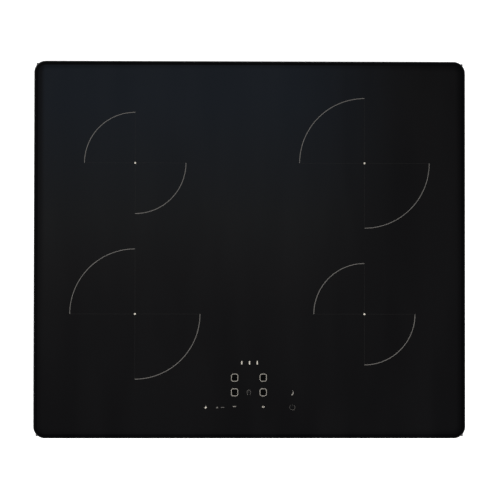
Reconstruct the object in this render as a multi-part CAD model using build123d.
from build123d import *
import math
import os

# Built-in electric induction cooktop with four zones.
# Millimetres. Origin at the middle of the underside, +X to the user's right,
# +Y to the rear, +Z up. The user stands at -Y.

# ---------------------------------------------------------------- glass plate
glass_width = 595.0
glass_depth = 520.0
glass_thickness = 4.0
glass_corner = 16.0
bevel_width = 4.0
bevel_drop = 1.5
arris = 0.5
total_height = 56.0

# ---------------------------------------------------------------- glass print
print_depth = 0.1
zone_line = 0.9
zone_dot = 1.4
zone_arc_starts = (90, 270)
large_mark = 89.5
small_mark = 69.8
key_line = 1.0
fine_line = 0.4
display_frame = (9.7, 10.7)
display_frame_corner = 3.2
pip_size = (4.6, 1.7)
pip_spacing = 10.6
lamp_radius = 1.9
lock_ring = (1.3, 0.6)
lock_ring_shift = (-3.4, -0.2)
lock_dash = 4.5
lock_dash_shift = 3.4
minus_length = 5.2
plus_size = (4.6, 3.2)
power_ring = 3.7
power_ring_start = 125
power_ring_turn = 290
power_bar = (1.4, 4.8)
clock_face = (2.9, 3.8)
clock_hand = 2.4
crescent_radius = 3.6
crescent_bite = 3.5
crescent_shift = 2.2

# places of the controls, from the middle and from the front edge of the glass
key_row = 42.3
upper_key_row = 63.0
display_rows = (63.4, 83.6)
display_middle = -1.1
display_column = 19.7
pip_row = 104.0
lamp_x = -60.8
lock_x = -41.2
minus_x = -21.5
plus_x = 18.5
power_x = 58.6

# ---------------------------------------------------------------- foam seal
seal_width = 9.0
seal_height = 3.0
seal_inset = 3.0

# ---------------------------------------------------------------- sheet tray
overhang_side = 19.5
overhang_end = 17.0
tray_sheet = 0.8
tray_corner = 8.0
tray_bend = 2.0
bond_thickness = 1.0
bond_width = 14.0
bond_inset = 1.2
rail_sheet = 1.0
rail_flange = 17.0
rail_height = 15.0
rail_end_gap = 12.0
vent_width = 3.4
vent_pitch = 12.0
vent_height = 20.0
vent_level = 22.0
side_vent_gap = 10.2
front_vent_margin = 97.0
rear_vent_margin = 139.0
floor_vent_length = 30.0
floor_vent_margin = 69.0
floor_vent_gap = 13.6
tray_screw_radius = 1.95
tray_screw_length = 6.0
side_screw_margin = 92.0
end_screw_margin = 106.0
screw_head_radius = 3.0
screw_head_height = 1.6
screw_hole_gap = 0.05

# ---------------------------------------------------------------- worktop clamps
niche_length = 46.0
niche_depth = 16.0
niche_height = 34.0
niche_from_end = 30.0
clamp_edge_gap = 8.0
clamp_end_gap = 9.0
clamp_width = 12.0
clamp_reach = 30.0
clamp_sheet = 2.0
clamp_level = 8.0
clamp_boss_wall = 2.0
clamp_boss_height = 10.0
clamp_teeth = 3
clamp_tooth = 1.4
clamp_tooth_pitch = 3.0
clamp_tooth_margin = 1.0
clamp_screw_radius = 2.5
clamp_head_radius = 4.5
clamp_head_height = 3.5
screw_slot = (6.0, 1.2, 1.6)
lug_level = 5.0
lug_sheet = 1.5
lug_width = 14.0
running_gap = 0.1

# ---------------------------------------------------------------- coils
rear_margin = 34.5
control_strip = 64.5
side_margin = 30.5
insulation_thickness = 2.0
coil_gap = 0.3
coil_inset = 4.0
coil_inner = 25.0
turn_pitch = 3.2
winding_height = 4.6
rim_wall = 1.5
rim_above_winding = 0.6
winding_side_gap = 0.5
former_base = 2.5
hub_wall = 2.0
former_slot = 10.0
ferrite_thickness = 4.0
ferrite_width = 14.0
ferrite_start = 30.0
large_bars = 8
small_bars = 6
sensor_stem = 6.0
sensor_flange = 9.0
sensor_flange_thickness = 1.5
sensor_head = 5.5
sensor_hole_gap = 2.5
spring_height = 10.5
spring_radius = 4.1
spring_wire = 0.8
spring_turns = 4.5
spring_inset = 12.0
float_travel = 2.5
post_radius = 2.5
post_gap = 1.0
coil_plate_sheet = 1.5
coil_plate_window = 22.0
plate_corner = 6.0
lead_hole_radius = 5.0

# ---------------------------------------------------------------- fan and cooling
fan_rear_margin = 31.0
fan_radius = 62.0
fan_wall = 2.0
fan_level = 2.0
fan_height = 38.0
fan_mouth_length = 68.2
inlet_radius = 34.0
inlet_wall = 3.0
impeller_radius = 48.0
impeller_eye = 36.0
impeller_level = 7.0
impeller_height = 18.5
impeller_disc = 1.5
impeller_band = 6.0
blade_count = 28
blade_thickness = 1.0
blade_bend = 13.2
blade_shift = 0.6
blade_start = 62
blade_turn = 56
shaft_radius = 1.5
shaft_gap = 0.05
shaft_end_gap = 1.0
hub_radius = 12.0
hub_height = 12.33
motor_radius = 20.0
motor_height = 12.0
motor_nose_radius = 10.0
motor_nose_height = 1.0
motor_end_wall = 1.0
grille_rings = (9.0, 15.0, 21.0, 27.0)
grille_turn = 74
grille_lead = 8
fan_lead_x = 20.0
fan_lead_bend = 1.9
sink_gap = 8.0
sink_width = 54.0
sink_wall = 4.0
fin_thickness = 2.0
fin_pitch = 6.0
sink_front_margin = 113.0
sink_length = 190.0

# ---------------------------------------------------------------- boards
carrier_sheet = 2.0
board_lift = 4.2
board_thickness = 1.6
board_front_margin = 63.0
board_rear_margin = 83.0
board_edge_gap = 7.5
column_gap = 3.2
plate_fan_gap = 4.0
plate_front_margin = 58.0
plate_rear_margin = 28.0
carrier_lip = 4.0
carrier_sink_lip = 2.0
carrier_joint_gap = 1.0
peg_radius = 3.0
peg_inner_inset = 22.0
peg_inset = 6.0
peg_middle_shift = 8.0
pillar_radius = 3.0
pillar_inner_inset = 9.0
pillar_outer_inset = 4.0
pillar_end_inset = 7.5
pillar_hole_depth = 8.0
inner_screw_radius = 1.5
inner_screw_length = 7.0
inner_screw_clearance = 0.5
inner_head_radius = 2.75
inner_head_height = 2.0
under_plate_gap = 1.0
transistor_size = (5.0, 16.0, 18.0)
transistor_pitch = 43.0
transistor_lift = 2.0
transistor_leg = (0.6, 1.2)
transistor_leg_pitch = 5.4
capacitor_size = (32.0, 18.0, 18.0)
capacitor_corner = 1.5
capacitor_pitch = 28.8
capacitor_inner_inset = 43.0
capacitor_outer_inset = 40.0
choke_ring = 13.0
choke_core = 5.0
choke_pitch = 36.4
choke_inset = 36.4
choke_tab_gap = 12.5
tab_size = (0.8, 6.3, 8.0)
tab_inset = 12.0
lead_radius = 1.5
lead_bend = 2.4

# ---------------------------------------------------------------- control unit
control_width = 140.0
control_front_gap = 18.5
control_depth = 58.5
control_height = 14.0
control_wall = 1.6
control_floor = 2.0
control_post = 4.0
control_post_radius = 3.0
control_post_inset = (11.2, 6.6)
control_board_gap = 0.4
control_lead_inset = (20.0, 12.0)
control_lead_hole = 4.5
insulation_gap = 2.0
display_size = (10.4, 11.4, 5.4)
display_corner = 0.5
pad_radius = 4.5

# ---------------------------------------------------------------- mains terminal
terminal_x = 195.0
terminal_width = 90.0
terminal_length = 60.0
terminal_board_gap = 8.0
terminal_wall = 1.6
cover_sheet = 1.5
cover_gap = 0.5
hinge_radius = 1.5
hinge_level = 3.0
hinge_inset = 4.0
ear_width = 2.5
finger_notch = 6.0
block_size = (50.0, 24.0)
block_level = 12.0
block_rear_gap = 4.0
pole_count = 5
pole_pitch = 9.5
pole_hole_depth = 9.0
terminal_screw_radius = 2.0
terminal_screw_length = 8.0
terminal_head_radius = 3.5
terminal_head_height = 2.0
terminal_slot = (6.0, 1.0, 1.0)
gland_bore = 6.5
gland_radius = 9.5
gland_flange = 12.0
gland_flange_thickness = 2.0
gland_level = 14.0
gland_length = 14.0
gland_body_length = 12.0
gland_nut = 4.0

# ---------------------------------------------------------------- wiring
link_inset = (12.0, 24.0)
link_rise = 14.0
link_bend = 5.0
control_lead_reach = 30.0
control_lead_bend = 3.5
fan_lead_rise = 4.0
coil_lead_rise = 2.0

# how far a cutting shape runs past the face that it cuts through
cut_over = 1.0

# ================================================================ worked-out levels
through_floor = (-cut_over, tray_sheet + cut_over)
glass_bottom = total_height - glass_thickness
rail_top = glass_bottom - bond_thickness
tray_screw_level = rail_top - rail_height / 2
seal_bottom = glass_bottom - seal_height
insulation_bottom = glass_bottom - insulation_thickness
rim_top = insulation_bottom - coil_gap
winding_bottom = rim_top - rim_above_winding - winding_height
former_bottom = winding_bottom - former_base
plate_top = former_bottom - spring_height
plate_bottom = plate_top - coil_plate_sheet
carrier_top = tray_sheet + carrier_sheet
board_bottom = carrier_top + board_lift
board_top = board_bottom + board_thickness
tall_part_top = plate_bottom - under_plate_gap
lead_level = board_top + tab_size[2] + 2 * lead_radius
fan_top = fan_level + fan_height
motor_bottom = fan_top - fan_wall - motor_height
motor_bore_top = motor_bottom + motor_height - motor_end_wall
impeller_top = impeller_level + impeller_height
hub_bottom = impeller_top - hub_height
control_bottom = glass_bottom - control_height
control_board_level = control_bottom + control_floor + control_post
display_bottom = control_board_level + board_thickness

# worked-out half sizes and places
tray_x = glass_width / 2 - overhang_side
tray_y = glass_depth / 2 - overhang_end
inner_x = tray_x - tray_sheet
inner_y = tray_y - tray_sheet
niche_x = tray_x - niche_depth
niche_end = tray_y - niche_from_end
niche_start = niche_end - niche_length
clamp_x = tray_x - clamp_edge_gap
clamp_y = niche_end - clamp_end_gap
column_outer = niche_x - tray_sheet - column_gap
column_inner = fan_radius + plate_fan_gap
zone_x = tray_x - side_margin - large_mark
zone_rear_y = tray_y - rear_margin - large_mark
zone_front_y = control_strip + large_mark - tray_y
sink_outer = sink_gap + sink_width
board_inner = sink_outer + cover_gap
board_outer = column_outer - board_edge_gap
board_front = board_front_margin - tray_y
board_rear = tray_y - board_rear_margin
board_middle = (board_front + board_rear) / 2
plate_front = plate_front_margin - tray_y
plate_rear = tray_y - plate_rear_margin
sink_front = sink_front_margin - tray_y
sink_rear = sink_front + sink_length
fan_y = tray_y - fan_rear_margin - fan_radius
front_edge = -glass_depth / 2
key_y = front_edge + key_row
upper_key_y = front_edge + upper_key_row
control_front = control_front_gap - tray_y
control_rear = control_front + control_depth
terminal_front = board_rear + terminal_board_gap
terminal_rear = terminal_front + terminal_length
hinge_y = terminal_front + terminal_wall + hinge_inset
block_rear = terminal_rear - terminal_wall - block_rear_gap
block_front = block_rear - block_size[1]
lead_x = zone_x - coil_plate_window - 2 * lead_hole_radius
tray_corners = [(side, end) for side in (-1, 1) for end in (-1, 1)]

zones = {
    "rear_left": (-zone_x, zone_rear_y, small_mark, small_bars),
    "rear_right": (zone_x, zone_rear_y, large_mark, large_bars),
    "front_left": (-zone_x, zone_front_y, large_mark, large_bars),
    "front_right": (zone_x, zone_front_y, small_mark, small_bars),
}
keys = {
    "lamp": (lamp_x, key_y),
    "lock": (lock_x, key_y),
    "minus": (minus_x, key_y),
    "plus": (plus_x, key_y),
    "power": (power_x, key_y),
    "clock": (display_middle, upper_key_y),
    "pause": (power_x, upper_key_y),
}


# ================================================================ helpers
def block(x, y, z):
    size = [max(span) - min(span) for span in (x, y, z)]
    centre = [sum(span) / 2 for span in (x, y, z)]
    return Pos(*centre) * Box(*size)


def rod(x, y, z, radius):
    return Pos(x, y, sum(z) / 2) * Cylinder(radius, abs(z[1] - z[0]))


def rod_along_x(x, y, z, radius):
    return Pos(sum(x) / 2, y, z) * Rot(0, 90, 0) * Cylinder(radius, abs(x[1] - x[0]))


def rod_along_y(x, y, z, radius):
    return Pos(x, sum(y) / 2, z) * Rot(90, 0, 0) * Cylinder(radius, abs(y[1] - y[0]))


def slab(outline, z):
    return extrude(Pos(0, 0, z[0]) * outline, z[1] - z[0])


def area(x, y, corner):
    middle = Pos(sum(x) / 2, sum(y) / 2)
    return middle * RectangleRounded(abs(x[1] - x[0]), abs(y[1] - y[0]), corner)


def mirrored(solids):
    return [mirror(solid, Plane.YZ) for solid in solids]


def row(length, pitch):
    # centred places along a line of this length, one pitch apart
    count = int(length // pitch)
    return [(index - (count - 1) / 2) * pitch for index in range(count)]


def arc_band(radius, width, start, turn=90):
    outer = CenterArc((0, 0), radius + width / 2, start, turn)
    inner = CenterArc((0, 0), radius - width / 2, start, turn)
    ends = [Line(outer @ 0, inner @ 0), Line(outer @ 1, inner @ 1)]
    return make_face([outer, inner] + ends)


def frame_outline(width, depth, corner, line):
    outer = RectangleRounded(width, depth, corner)
    inner = RectangleRounded(width - 2 * line, depth - 2 * line, corner - line)
    return outer - inner


# ================================================================ glass and print
def display_places():
    sides = (display_middle - display_column, display_middle + display_column)
    return [(x, front_edge + distance) for x in sides for distance in display_rows]


def zone_marks():
    marks = []
    for x, y, mark, bars in zones.values():
        marks += [Pos(x, y) * arc_band(mark, zone_line, start) for start in zone_arc_starts]
        marks.append(Pos(x, y) * Circle(zone_dot))
    return marks


def power_mark():
    low, high = power_bar
    ring = arc_band(power_ring, fine_line, power_ring_start, power_ring_turn)
    return ring + Pos(0, (low + high) / 2) * Rectangle(fine_line, high - low)


def clock_mark():
    across, tall = clock_face
    ring = Ellipse(across, tall) - Ellipse(across - fine_line, tall - fine_line)
    return ring + Pos(0, clock_hand / 2) * Rectangle(fine_line, clock_hand)


def key_marks():
    lock = Pos(*lock_ring_shift) * (Circle(lock_ring[0]) - Circle(lock_ring[1]))
    shapes = {
        "lamp": Circle(lamp_radius),
        "lock": lock,
        "minus": Rectangle(minus_length, key_line),
        "plus": Rectangle(plus_size[0], key_line) + Rectangle(key_line, plus_size[1]),
        "power": power_mark(),
        "clock": clock_mark(),
        "pause": Circle(crescent_radius) - Pos(-crescent_shift, 0) * Circle(crescent_bite),
    }
    marks = [Pos(*keys[name]) * shape for name, shape in shapes.items()]
    marks.append(Pos(lock_x + lock_dash_shift, key_y) * Rectangle(lock_dash, key_line))
    return marks


def display_marks():
    frame = frame_outline(*display_frame, display_frame_corner, key_line)
    return [Pos(x, y) * frame for x, y in display_places()]


def pip_marks():
    pip = SlotOverall(*pip_size, rotation=90)
    y = front_edge + pip_row
    return [Pos(step * pip_spacing, y) * pip for step in (-1, 0, 1)]


def control_marks():
    return key_marks() + display_marks() + pip_marks()


def surface_print():
    level = (total_height - print_depth, total_height)
    return [slab(mark, level) for mark in zone_marks() + control_marks()]


def glass_top(printed):
    full = RectangleRounded(glass_width, glass_depth, glass_corner)
    inset = 2 * bevel_width
    face = RectangleRounded(glass_width - inset, glass_depth - inset, glass_corner - bevel_width)
    bevel_bottom = total_height - bevel_drop
    body = slab(full, (glass_bottom, bevel_bottom))
    body = chamfer(body.edges().group_by(Axis.Z)[0], arris)
    crown = loft([Pos(0, 0, bevel_bottom) * full, Pos(0, 0, total_height) * face], ruled=True)
    return body + crown - printed


def worktop_seal():
    outer_x = glass_width / 2 - seal_inset
    outer_y = glass_depth / 2 - seal_inset
    side_x = (outer_x - seal_width, outer_x)
    end_y = (outer_y - seal_width, outer_y)
    level = (seal_bottom, glass_bottom)
    side = block(side_x, (-outer_y, outer_y), level)
    end = block((-side_x[0], side_x[0]), end_y, level)
    return [side, mirror(side, Plane.YZ), end, mirror(end, Plane.XZ)]


def glass_bond():
    outer_x = inner_x - bond_inset
    outer_y = inner_y - bond_inset
    level = (rail_top, glass_bottom)
    side_half = inner_y - rail_flange - bond_inset
    side = block((outer_x - bond_width, outer_x), (-side_half, side_half), level)
    end_half = inner_x - rail_end_gap
    end = block((-end_half, end_half), (outer_y - bond_width, outer_y), level)
    return [side, mirror(side, Plane.YZ), end, mirror(end, Plane.XZ)]


# ================================================================ tray and rails
def side_screw_places():
    reach = tray_y - side_screw_margin
    return [-reach, 0, reach]


def end_screw_places():
    reach = tray_x - end_screw_margin
    return [-reach, 0, reach]


def side_rail():
    half = inner_y - rail_flange - rail_sheet
    flange = block((inner_x - rail_flange, inner_x), (-half, half), (rail_top - rail_sheet, rail_top))
    leg = block((inner_x - rail_sheet, inner_x), (-half, half), (rail_top - rail_height, rail_top))
    rail = flange + leg
    for y in side_screw_places():
        bite = (inner_x - 2 * rail_sheet, tray_x)
        rail -= rod_along_x(bite, y, tray_screw_level, tray_screw_radius)
    return rail


def cross_rail():
    half = inner_x - rail_end_gap
    flange = block((-half, half), (inner_y - rail_flange, inner_y), (rail_top - rail_sheet, rail_top))
    leg = block((-half, half), (inner_y - rail_sheet, inner_y), (rail_top - rail_height, rail_top))
    rail = flange + leg
    for x in end_screw_places():
        bite = (inner_y - 2 * rail_sheet, tray_y)
        rail -= rod_along_y(x, bite, tray_screw_level, tray_screw_radius)
    return rail


def glass_rails():
    side, cross = side_rail(), cross_rail()
    return [side, mirror(side, Plane.YZ), cross, mirror(cross, Plane.XZ)]


def tray_screws():
    solids = []
    for y in side_screw_places():
        head = rod_along_x((tray_x, tray_x + screw_head_height), y, tray_screw_level, screw_head_radius)
        shank = rod_along_x((tray_x - tray_screw_length, tray_x), y, tray_screw_level, tray_screw_radius)
        solids.append(head + shank)
    solids += mirrored(solids)
    ends = []
    for x in end_screw_places():
        head = rod_along_y(x, (tray_y, tray_y + screw_head_height), tray_screw_level, screw_head_radius)
        shank = rod_along_y(x, (tray_y - tray_screw_length, tray_y), tray_screw_level, tray_screw_radius)
        ends.append(head + shank)
    return solids + ends + [mirror(screw, Plane.XZ) for screw in ends]


def tray_screw_holes():
    radius = tray_screw_radius + screw_hole_gap
    holes = []
    for y in side_screw_places():
        holes.append(rod_along_x((-tray_x - cut_over, tray_x + cut_over), y, tray_screw_level, radius))
    for x in end_screw_places():
        holes.append(rod_along_y(x, (-tray_y - cut_over, tray_y + cut_over), tray_screw_level, radius))
    return holes


def upright_slot(place, turn):
    slot = extrude(SlotOverall(vent_height, vent_width, rotation=90), 2 * tray_sheet, both=True)
    return Pos(*place) * Rot(0, 0, turn) * Rot(90, 0, 0) * slot


def wall_vents():
    slots = []
    for y in row(2 * (niche_start - side_vent_gap), vent_pitch):
        slots += [upright_slot((side * inner_x, y, vent_level), 90) for side in (-1, 1)]
    for x in row(2 * (tray_x - front_vent_margin), vent_pitch):
        slots.append(upright_slot((x, -inner_y, vent_level), 0))
    for x in row(2 * (tray_x - rear_vent_margin), vent_pitch):
        slots.append(upright_slot((x, inner_y, vent_level), 0))
    return slots


def floor_vents():
    y = board_front - floor_vent_gap - floor_vent_length / 2
    outline = SlotOverall(floor_vent_length, vent_width, rotation=90)
    places = row(2 * (tray_x - floor_vent_margin), vent_pitch)
    return [slab(Pos(x, y) * outline, through_floor) for x in places]


def inlet_grille():
    slots = []
    for index, radius in enumerate(grille_rings):
        for quarter in range(4):
            start = 90 * quarter + grille_lead + 45 * (index % 2)
            slot = Pos(0, fan_y) * arc_band(radius, vent_width, start, grille_turn)
            slots.append(slab(slot, through_floor))
    return slots


def niche_space(side, end, wall):
    x = (side * (niche_x - wall), side * (tray_x + cut_over))
    y = (end * (niche_start - wall), end * (niche_end + wall))
    return block(x, y, (-cut_over, niche_height + wall))


def clamp_lug(side, end):
    x, y = side * clamp_x, end * clamp_y
    plate = block(
        (side * (niche_x - tray_sheet / 2), x + side * clamp_width / 2),
        (y - lug_width / 2, y + lug_width / 2),
        (lug_level, lug_level + lug_sheet),
    )
    through = (lug_level - cut_over, lug_level + lug_sheet + cut_over)
    return plate - rod(x, y, through, clamp_screw_radius + running_gap)


def tray_shell():
    # pressed sheet with a bend all round its floor, pushed in at the four clamp niches
    outer = slab(RectangleRounded(2 * tray_x, 2 * tray_y, tray_corner), (0, rail_top))
    outer = fillet(outer.edges().group_by(Axis.Z)[0], tray_bend)
    cavity_outline = RectangleRounded(2 * inner_x, 2 * inner_y, tray_corner - tray_sheet)
    cavity = slab(cavity_outline, (tray_sheet, rail_top + cut_over))
    cavity = fillet(cavity.edges().group_by(Axis.Z)[0], tray_bend - tray_sheet)
    cavity -= [niche_space(side, end, tray_sheet) for side, end in tray_corners]
    return outer - cavity - [niche_space(side, end, 0) for side, end in tray_corners]


def terminal_opening():
    half = terminal_width / 2 - terminal_wall - cover_gap
    x = (terminal_x - half, terminal_x + half)
    y = (terminal_front + terminal_wall, terminal_rear - terminal_wall)
    return block(x, y, through_floor)


def gland_opening():
    through_wall = (inner_y - cut_over, tray_y + cut_over)
    return rod_along_y(terminal_x, through_wall, gland_level, gland_radius)


def bottom_tray():
    tray = tray_shell() + [clamp_lug(side, end) for side, end in tray_corners]
    tray -= [terminal_opening(), gland_opening()]
    tray -= tray_screw_holes() + wall_vents()
    tray -= floor_vents() + inlet_grille()
    return tray


# ================================================================ worktop clamps
def clamp_arm(side, end):
    x, y = side * clamp_x, end * clamp_y
    sheet = (clamp_level, clamp_level + clamp_sheet)
    boss_top = clamp_level + clamp_boss_height
    across = (x - clamp_width / 2, x + clamp_width / 2)
    tip_y = y - end * clamp_reach
    arm = block(across, (y, tip_y), sheet)
    arm += rod(x, y, sheet, clamp_width / 2)
    arm += rod(x, y, (clamp_level, boss_top), clamp_screw_radius + clamp_boss_wall)
    for step in range(clamp_teeth):
        tooth_y = tip_y + end * (clamp_tooth_margin + clamp_tooth_pitch * step)
        tooth_level = (sheet[1] - clamp_tooth, sheet[1] + clamp_tooth)
        arm += block(across, (tooth_y, tooth_y + end * clamp_tooth), tooth_level)
    bore = (clamp_level - cut_over, boss_top + cut_over)
    return arm - rod(x, y, bore, clamp_screw_radius + running_gap)


def clamp_screw(x, y):
    length, width, depth = screw_slot
    head_bottom = lug_level - clamp_head_height
    spindle = rod(x, y, (lug_level, niche_height), clamp_screw_radius)
    head = rod(x, y, (head_bottom, lug_level), clamp_head_radius)
    slot_x = (x - length / 2, x + length / 2)
    slot_y = (y - width / 2, y + width / 2)
    return spindle + head - block(slot_x, slot_y, (head_bottom - cut_over, head_bottom + depth))


def clamp_screws():
    return [clamp_screw(side * clamp_x, end * clamp_y) for side, end in tray_corners]


# ================================================================ coils
def coil_radius(mark):
    return mark - coil_inset


def former_radius(mark):
    return coil_radius(mark) + winding_side_gap + rim_wall


def spring_places(x, y, mark, bars):
    # one spring in every second gap between the ferrite bars
    reach = coil_radius(mark) - spring_inset
    step = 360 / bars
    angles = [math.radians(step / 2 + 2 * step * index) for index in range(bars // 2)]
    return [(x + reach * math.cos(a), y + reach * math.sin(a)) for a in angles]


def coil_former(x, y, mark, bars):
    rim = former_radius(mark)
    base = rod(0, 0, (former_bottom, winding_bottom), rim)
    wall = rod(0, 0, (winding_bottom, rim_top), rim) - rod(0, 0, (winding_bottom, rim_top), rim - rim_wall)
    hub_outer = coil_inner - winding_side_gap
    hub = rod(0, 0, (winding_bottom, rim_top), hub_outer)
    hub -= rod(0, 0, (winding_bottom, rim_top), hub_outer - hub_wall)
    former = base + wall + hub
    through = (former_bottom - cut_over, winding_bottom + cut_over)
    slot_length = coil_radius(mark) - spring_inset - 2 * spring_radius - ferrite_start
    slot_middle = ferrite_start + slot_length / 2
    for index in range(bars):
        turn = Rot(0, 0, 360 / bars * (index + 0.5))
        slot = Pos(slot_middle, 0) * SlotOverall(slot_length, former_slot)
        former -= turn * slab(slot, through)
    former -= rod(0, 0, through, sensor_stem)
    return Pos(x, y) * former


def ferrites(x, y, mark, bars):
    end = coil_radius(mark) - winding_side_gap - rim_wall
    level = (former_bottom - ferrite_thickness, former_bottom)
    bar = block((ferrite_start, end), (-ferrite_width / 2, ferrite_width / 2), level)
    return [Pos(x, y) * Rot(0, 0, 360 / bars * index) * bar for index in range(bars)]


def winding(x, y, mark):
    outer = coil_radius(mark)
    turns = round((outer - coil_inner) / turn_pitch)
    pitch = (outer - coil_inner) / turns
    crest = winding_bottom + winding_height
    valley = crest - pitch / 4
    section = [
        Line((outer, 0, valley), (outer, 0, winding_bottom)),
        Line((outer, 0, winding_bottom), (coil_inner, 0, winding_bottom)),
        Line((coil_inner, 0, winding_bottom), (coil_inner, 0, valley)),
    ]
    for turn in range(turns):
        start = coil_inner + turn * pitch
        middle = (start + pitch / 2, 0, crest)
        section.append(ThreePointArc((start, 0, valley), middle, (start + pitch, 0, valley)))
    return Pos(x, y) * revolve(make_face(section), Axis.Z)


def temp_sensor(x, y):
    stem = rod(x, y, (former_bottom - former_base, winding_bottom), sensor_stem)
    flange = rod(x, y, (winding_bottom, winding_bottom + sensor_flange_thickness), sensor_flange)
    head = rod(x, y, (winding_bottom, glass_bottom - coil_gap), sensor_head)
    return stem + flange + head


def coil_spring(x, y):
    height = spring_height - spring_wire
    path = Helix(height / spring_turns, height, spring_radius, center=(x, y, plate_top + spring_wire / 2))
    section = Plane(origin=path @ 0, z_dir=path % 0) * Circle(spring_wire / 2)
    return sweep(section, path=path, is_frenet=True)


def pillar_places():
    # the coil plate stands on these, on its own half of the tray
    inner = board_inner + pillar_inner_inset
    outer = column_outer - pillar_outer_inset
    ends = [board_front + pillar_end_inset, board_rear - pillar_end_inset]
    return [(x, y) for x in (inner, outer) for y in ends] + [(outer, board_middle)]


def lead_places(side):
    # where each coil's leads come up through its plate, beside the windows
    return [(side * lead_x, y) for x, y, mark, bars in zones.values() if x * side > 0]


def coil_plate(side):
    outline = area((side * column_inner, side * column_outer), (plate_front, plate_rear), plate_corner)
    plate = slab(outline, (plate_bottom, plate_top))
    through = (plate_bottom - cut_over, plate_top + cut_over)
    post_top = former_bottom - float_travel - post_gap
    for zone in zones.values():
        if zone[0] * side > 0:
            plate -= rod(zone[0], zone[1], through, coil_plate_window)
            for x, y in spring_places(*zone):
                plate += rod(x, y, (plate_top, post_top), post_radius)
    for x, y in lead_places(side):
        plate -= rod(x, y, through, lead_hole_radius)
    for x, y in pillar_places():
        plate -= rod(side * x, y, through, inner_screw_radius)
    return plate


def insulation_sheet(side):
    inner = control_width / 2 + insulation_gap
    outer = column_outer - 2 * pillar_radius
    outline = area((side * inner, side * outer), (plate_front, plate_rear), plate_corner)
    sheet = slab(outline, (insulation_bottom, glass_bottom))
    through = (insulation_bottom - cut_over, glass_bottom + cut_over)
    for x, y, mark, bars in zones.values():
        if x * side > 0:
            sheet -= rod(x, y, through, sensor_head + sensor_hole_gap)
    return sheet


# ================================================================ boards and carriers
def peg_places():
    # board screws, clear of the pillars and of what stands on the board
    columns = (board_inner + peg_inner_inset, board_outer - peg_inset)
    rows = (board_front + peg_inset, board_middle + peg_middle_shift, board_rear - peg_inset)
    return [(x, y) for x in columns for y in rows]


def board_carrier():
    sheet = (tray_sheet, carrier_top)
    joint = board_inner + carrier_joint_gap
    board_y = (board_front - carrier_lip, board_rear + carrier_lip)
    sink_y = (sink_front - carrier_lip, sink_rear + carrier_lip)
    carrier = block((joint, column_outer), board_y, sheet)
    carrier += block((sink_gap - carrier_sink_lip, joint), sink_y, sheet)
    for x, y in pillar_places():
        carrier += rod(x, y, (carrier_top, plate_bottom), pillar_radius)
        carrier -= rod(x, y, (plate_bottom - pillar_hole_depth, plate_bottom + cut_over), inner_screw_radius)
    for x, y in peg_places():
        carrier += rod(x, y, (carrier_top, board_bottom), peg_radius)
        carrier -= rod(x, y, (carrier_top, board_bottom + cut_over), inner_screw_radius)
    return carrier


def mains_tab_places():
    return [(terminal_x + step * pole_pitch, board_rear - tab_inset) for step in (-1, 0, 1)]


def terminal_tabs():
    # upright tabs that the coil leads and the mains leads push on to
    width, depth, height = tab_size
    level = (board_top, board_top + height)
    return [
        block((x - width / 2, x + width / 2), (y - depth / 2, y + depth / 2), level)
        for x, y in lead_places(1) + mains_tab_places()
    ]


def power_board():
    board = block((board_inner, board_outer), (board_front, board_rear), (board_bottom, board_top))
    through = (board_bottom - cut_over, board_top + cut_over)
    for x, y in pillar_places():
        if x < board_outer:
            board -= rod(x, y, through, pillar_radius + cover_gap)
    for x, y in peg_places():
        board -= rod(x, y, through, inner_screw_radius)
    return [board] + terminal_tabs()


def inner_screw(x, y, tip, seat):
    shank = rod(x, y, (tip, seat), inner_screw_radius)
    return shank + rod(x, y, (seat, seat + inner_head_height), inner_head_radius)


def inner_screws():
    peg_tip = carrier_top + inner_screw_clearance
    solids = [inner_screw(x, y, peg_tip, board_top) for x, y in peg_places()]
    pillar_tip = plate_bottom - inner_screw_length
    solids += [inner_screw(x, y, pillar_tip, plate_top) for x, y in pillar_places()]
    return solids + mirrored(solids)


def heat_sink():
    y = (sink_front, sink_rear)
    upright = (carrier_top, tall_part_top)
    sink = block((sink_gap, sink_outer), y, (carrier_top, carrier_top + sink_wall))
    sink += block((sink_outer - sink_wall, sink_outer), y, upright)
    for index in range(int((sink_width - sink_wall) // fin_pitch)):
        x = sink_gap + index * fin_pitch
        sink += block((x, x + fin_thickness), y, upright)
    return sink


def power_transistors():
    # each is held against the sink's wall and stands on three legs
    thickness, width, height = transistor_size
    leg_thickness, leg_width = transistor_leg
    bottom = board_top + transistor_lift
    leg_x = sink_outer + thickness / 2
    middle = (sink_front + sink_rear) / 2
    solids = []
    for place in row(sink_length, transistor_pitch):
        y = middle + place
        across = (y - width / 2, y + width / 2)
        case = block((sink_outer, sink_outer + thickness), across, (bottom, bottom + height))
        for step in (-1, 0, 1):
            leg = Pos(leg_x, y + step * transistor_leg_pitch, (board_top + bottom) / 2)
            case += leg * Box(leg_thickness, leg_width, bottom - board_top)
        solids.append(case)
    return solids + mirrored(solids)


def resonance_capacitors():
    width, depth, height = capacitor_size
    solids = []
    for x in (board_inner + capacitor_inner_inset, board_outer - capacitor_outer_inset):
        for step in (-1.5, -0.5, 0.5):
            y = board_middle + step * capacitor_pitch
            case = Pos(x, y, board_top + height / 2) * Box(width, depth, height)
            solids.append(fillet(case.edges().filter_by(Axis.Z), capacitor_corner))
    return solids + mirrored(solids)


def filter_chokes():
    # two rings lying on the board beside the coil's lead tab
    y = board_rear - choke_inset
    first = lead_x + choke_tab_gap + choke_ring + choke_core
    ring = Torus(choke_ring, choke_core)
    solids = [Pos(first + step * choke_pitch, y, board_top + choke_core) * ring for step in (0, 1)]
    return solids + mirrored(solids)


# ================================================================ fan
def fan_outline(radius):
    # round chamber that opens into a straight mouth towards the front
    return Circle(radius) + Pos(0, -fan_mouth_length / 2) * Rectangle(2 * radius, fan_mouth_length)


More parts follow.
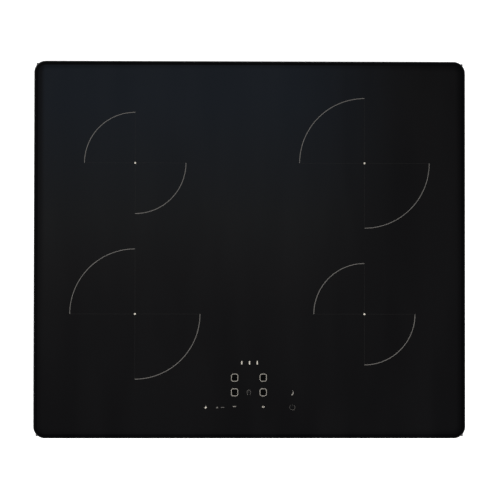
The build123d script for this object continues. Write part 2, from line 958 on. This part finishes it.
def fan_housing():
    room = (fan_level + fan_wall, fan_top - fan_wall)
    shell = slab(fan_outline(fan_radius), (fan_level, fan_top))
    shell -= slab(fan_outline(fan_radius - fan_wall), room)
    mouth_x = (fan_wall - fan_radius, fan_radius - fan_wall)
    shell -= block(mouth_x, (-fan_mouth_length - cut_over, -fan_radius), room)
    shell += rod(0, 0, (tray_sheet, fan_level), inlet_radius + inlet_wall)
    shell -= rod(0, 0, (0, fan_level + fan_wall + cut_over), inlet_radius)
    return Pos(0, fan_y) * shell


def fan_blade():
    chord = impeller_radius - impeller_eye
    outline = arc_band(blade_bend, blade_thickness, blade_start, blade_turn)
    blade = slab(outline, (impeller_level, impeller_top))
    return Pos((impeller_radius + impeller_eye) / 2 - blade_shift, -chord) * blade


def fan_impeller():
    ring_level = (impeller_level, impeller_level + impeller_disc)
    wheel = rod(0, 0, (impeller_top - impeller_disc, impeller_top), impeller_radius)
    wheel += rod(0, 0, ring_level, impeller_radius) - rod(0, 0, ring_level, impeller_radius - impeller_band)
    wheel += rod(0, 0, (hub_bottom, impeller_top), hub_radius)
    blade = fan_blade()
    for index in range(blade_count):
        wheel += Rot(0, 0, 360 / blade_count * index) * blade
    wheel &= rod(0, 0, (impeller_level, impeller_top), impeller_radius)
    wheel -= rod(0, 0, (impeller_level, impeller_top + cut_over), shaft_radius)
    return Pos(0, fan_y) * wheel


def fan_shaft():
    return rod(0, fan_y, (hub_bottom, motor_bore_top - shaft_end_gap), shaft_radius)


def fan_motor():
    case_bottom = motor_bottom + motor_nose_height
    case = rod(0, fan_y, (case_bottom, motor_bottom + motor_height), motor_radius)
    nose = rod(0, fan_y, (motor_bottom, case_bottom), motor_nose_radius)
    bore = (motor_bottom - cut_over, motor_bore_top)
    return case + nose - rod(0, fan_y, bore, shaft_radius + shaft_gap)


# ================================================================ control unit
def control_housing():
    half = control_width / 2
    tub = block((-half, half), (control_front, control_rear), (control_bottom, glass_bottom))
    room_x = (control_wall - half, half - control_wall)
    room_y = (control_front + control_wall, control_rear - control_wall)
    floor = control_bottom + control_floor
    tub -= block(room_x, room_y, (floor, glass_bottom + cut_over))
    inset_x, inset_y = control_post_inset
    for x in (inset_x - half, half - inset_x):
        for y in (control_front + inset_y, control_rear - inset_y):
            tub += rod(x, y, (floor, control_board_level), control_post_radius)
    lead = control_lead_place()
    return tub - rod(*lead, (control_bottom - cut_over, floor + cut_over), control_lead_hole)


def control_lead_place():
    inset_x, inset_y = control_lead_inset
    return (inset_x - control_width / 2, control_rear - inset_y)


def control_board():
    gap = control_wall + control_board_gap
    half = control_width / 2 - gap
    y = (control_front + gap, control_rear - gap)
    return block((-half, half), y, (control_board_level, display_bottom))


def digit_displays():
    solids = []
    for x, y in display_places():
        case = Pos(x, y, display_bottom + display_size[2] / 2) * Box(*display_size)
        solids.append(fillet(case.edges().group_by(Axis.Z)[-1], display_corner))
    return solids


def touch_pads():
    return [rod(x, y, (display_bottom, glass_bottom), pad_radius) for x, y in keys.values()]


# ================================================================ mains terminal
def terminal_box():
    half = terminal_width / 2
    x = (terminal_x - half, terminal_x + half)
    box = block(x, (terminal_front, terminal_rear), (tray_sheet, tall_part_top))
    room_x = (x[0] + terminal_wall, x[1] - terminal_wall)
    room_y = (terminal_front + terminal_wall, terminal_rear - terminal_wall)
    box -= block(room_x, room_y, (0, tall_part_top - terminal_wall))
    rear_wall = (terminal_rear - terminal_wall - cut_over, terminal_rear + cut_over)
    box -= rod_along_y(terminal_x, rear_wall, gland_level, gland_radius)
    front_wall = (terminal_front - cut_over, terminal_front + terminal_wall + cut_over)
    for wire_x, wire_y in mains_tab_places():
        box -= rod_along_y(wire_x, front_wall, lead_level, 2 * lead_radius)
    box -= rod_along_x((x[0] - cut_over, x[1] + cut_over), hinge_y, hinge_level, hinge_radius + running_gap)
    return box


def pole_places():
    middle = (pole_count - 1) / 2
    y = (block_front + block_rear) / 2
    return [(terminal_x + (index - middle) * pole_pitch, y) for index in range(pole_count)]


def terminal_block():
    half = block_size[0] / 2
    level = (block_level, tall_part_top - terminal_wall)
    body = block((terminal_x - half, terminal_x + half), (block_front, block_rear), level)
    for x, y in pole_places():
        body -= rod(x, y, (block_level - cut_over, block_level + pole_hole_depth), terminal_screw_radius)
    return body


def terminal_screws():
    length, width, depth = terminal_slot
    head_bottom = block_level - terminal_head_height
    solids = []
    for x, y in pole_places():
        head = rod(x, y, (head_bottom, block_level), terminal_head_radius)
        shank = rod(x, y, (block_level, block_level + terminal_screw_length), terminal_screw_radius)
        slot_x = (x - length / 2, x + length / 2)
        slot_y = (y - width / 2, y + width / 2)
        solids.append(head + shank - block(slot_x, slot_y, (head_bottom - cut_over, head_bottom + depth)))
    return solids


def terminal_cover():
    half = terminal_width / 2 - terminal_wall - 2 * cover_gap
    x = (terminal_x - half, terminal_x + half)
    front = hinge_y - hinge_radius
    rear = terminal_rear - terminal_wall - cover_gap
    cover = block(x, (front, rear), (0, cover_sheet))
    cover -= rod(terminal_x, rear, (-cut_over, cover_sheet + cut_over), finger_notch)
    reach = half + terminal_wall + cover_gap
    for side in (-1, 1):
        ear_x = (terminal_x + side * (half - ear_width), terminal_x + side * half)
        cover += block(ear_x, (front, hinge_y + hinge_radius), (0, hinge_level))
        cover += rod_along_x(ear_x, hinge_y, hinge_level, hinge_radius)
        pin_x = (terminal_x + side * half, terminal_x + side * reach)
        cover += rod_along_x(pin_x, hinge_y, hinge_level, hinge_radius)
    return cover


def cable_gland():
    flange = rod_along_y(terminal_x, (tray_y, tray_y + gland_flange_thickness), gland_level, gland_flange)
    body = rod_along_y(terminal_x, (tray_y - gland_body_length, tray_y), gland_level, gland_radius)
    nut = Rot(90, 0, 0) * extrude(RegularPolygon(gland_flange, 6), gland_nut / 2, both=True)
    nut = Pos(terminal_x, inner_y - gland_nut / 2, gland_level) * nut
    whole = (tray_y - gland_length, tray_y + gland_flange_thickness + cut_over)
    return flange + body + nut - rod_along_y(terminal_x, whole, gland_level, gland_bore)


# ================================================================ wiring
def lead(points, bend):
    path = FilletPolyline(*points, radius=bend)
    section = Plane(origin=path @ 0, z_dir=path % 0) * Circle(lead_radius)
    return sweep(section, path=path)


def coil_leads():
    level = (board_top + tab_size[2], plate_top + coil_lead_rise)
    return [rod(x, y, level, lead_radius) for side in (-1, 1) for x, y in lead_places(side)]


def mains_leads():
    tab_top = board_top + tab_size[2]
    solids = []
    for x, y in mains_tab_places():
        solids.append(lead([(x, y, tab_top), (x, y, lead_level), (x, block_front, lead_level)], lead_bend))
    return solids


def board_link():
    # joins the two power boards across the middle of the tray
    x = board_inner + link_inset[0]
    y = board_front + link_inset[1]
    top = board_top + link_rise
    return lead([(-x, y, board_top), (-x, y, top), (x, y, top), (x, y, board_top)], link_bend)


def control_lead():
    x, y = control_lead_place()
    low = board_top + link_rise
    end_x = -board_inner - control_lead_reach
    points = [(x, y, control_board_level), (x, y, low), (end_x, y, low), (end_x, y, board_top)]
    return lead(points, control_lead_bend)


def fan_lead():
    start_x = fan_lead_x
    end_x = fan_radius + plate_fan_gap / 2
    over = fan_top + fan_lead_rise
    route = [(start_x, fan_top), (start_x, over), (end_x, over), (end_x, board_top)]
    return lead([(x, fan_y, z) for x, z in route], fan_lead_bend)


def wiring_harness():
    return coil_leads() + mains_leads() + [board_link(), control_lead(), fan_lead()]


# ================================================================ all pieces
def all_parts():
    printed = surface_print()
    carrier = board_carrier()
    board = power_board()
    sink = heat_sink()
    parts = {
        "glass_top": [glass_top(printed)],
        "surface_print": printed,
        "worktop_seal": worktop_seal(),
        "glass_bond": glass_bond(),
        "glass_rails": glass_rails(),
        "bottom_tray": [bottom_tray()],
        "tray_screws": tray_screws(),
        "clamp_screws": clamp_screws(),
        "board_carrier_right": [carrier],
        "board_carrier_left": mirrored([carrier]),
        "power_board_right": board,
        "power_board_left": mirrored(board),
        "heat_sink_right": [sink],
        "heat_sink_left": mirrored([sink]),
        "inner_screws": inner_screws(),
        "power_transistors": power_transistors(),
        "resonance_capacitors": resonance_capacitors(),
        "filter_chokes": filter_chokes(),
        "fan_housing": [fan_housing()],
        "fan_impeller": [fan_impeller()],
        "fan_shaft": [fan_shaft()],
        "fan_motor": [fan_motor()],
        "control_housing": [control_housing()],
        "control_board": [control_board()],
        "digit_displays": digit_displays(),
        "touch_pads": touch_pads(),
        "terminal_box": [terminal_box()],
        "terminal_block": [terminal_block()],
        "terminal_screws": terminal_screws(),
        "terminal_cover": [terminal_cover()],
        "cable_gland": [cable_gland()],
        "wiring_harness": wiring_harness(),
    }
    for side_name, side in (("left", -1), ("right", 1)):
        parts[f"coil_plate_{side_name}"] = [coil_plate(side)]
        parts[f"insulation_sheet_{side_name}"] = [insulation_sheet(side)]
        for end_name, end in (("front", -1), ("rear", 1)):
            parts[f"clamp_{end_name}_{side_name}"] = [clamp_arm(side, end)]
    for name, (x, y, mark, bars) in zones.items():
        parts[f"coil_former_{name}"] = [coil_former(x, y, mark, bars)]
        parts[f"ferrites_{name}"] = ferrites(x, y, mark, bars)
        parts[f"winding_{name}"] = [winding(x, y, mark)]
        parts[f"temp_sensor_{name}"] = [temp_sensor(x, y)]
        places = spring_places(x, y, mark, bars)
        parts[f"coil_springs_{name}"] = [coil_spring(*place) for place in places]
    return parts


os.makedirs("parts", exist_ok=True)
for name, solids in all_parts().items():
    shape = solids[0] if len(solids) == 1 else Compound(solids)
    export_step(shape, f"parts/{name}.step")
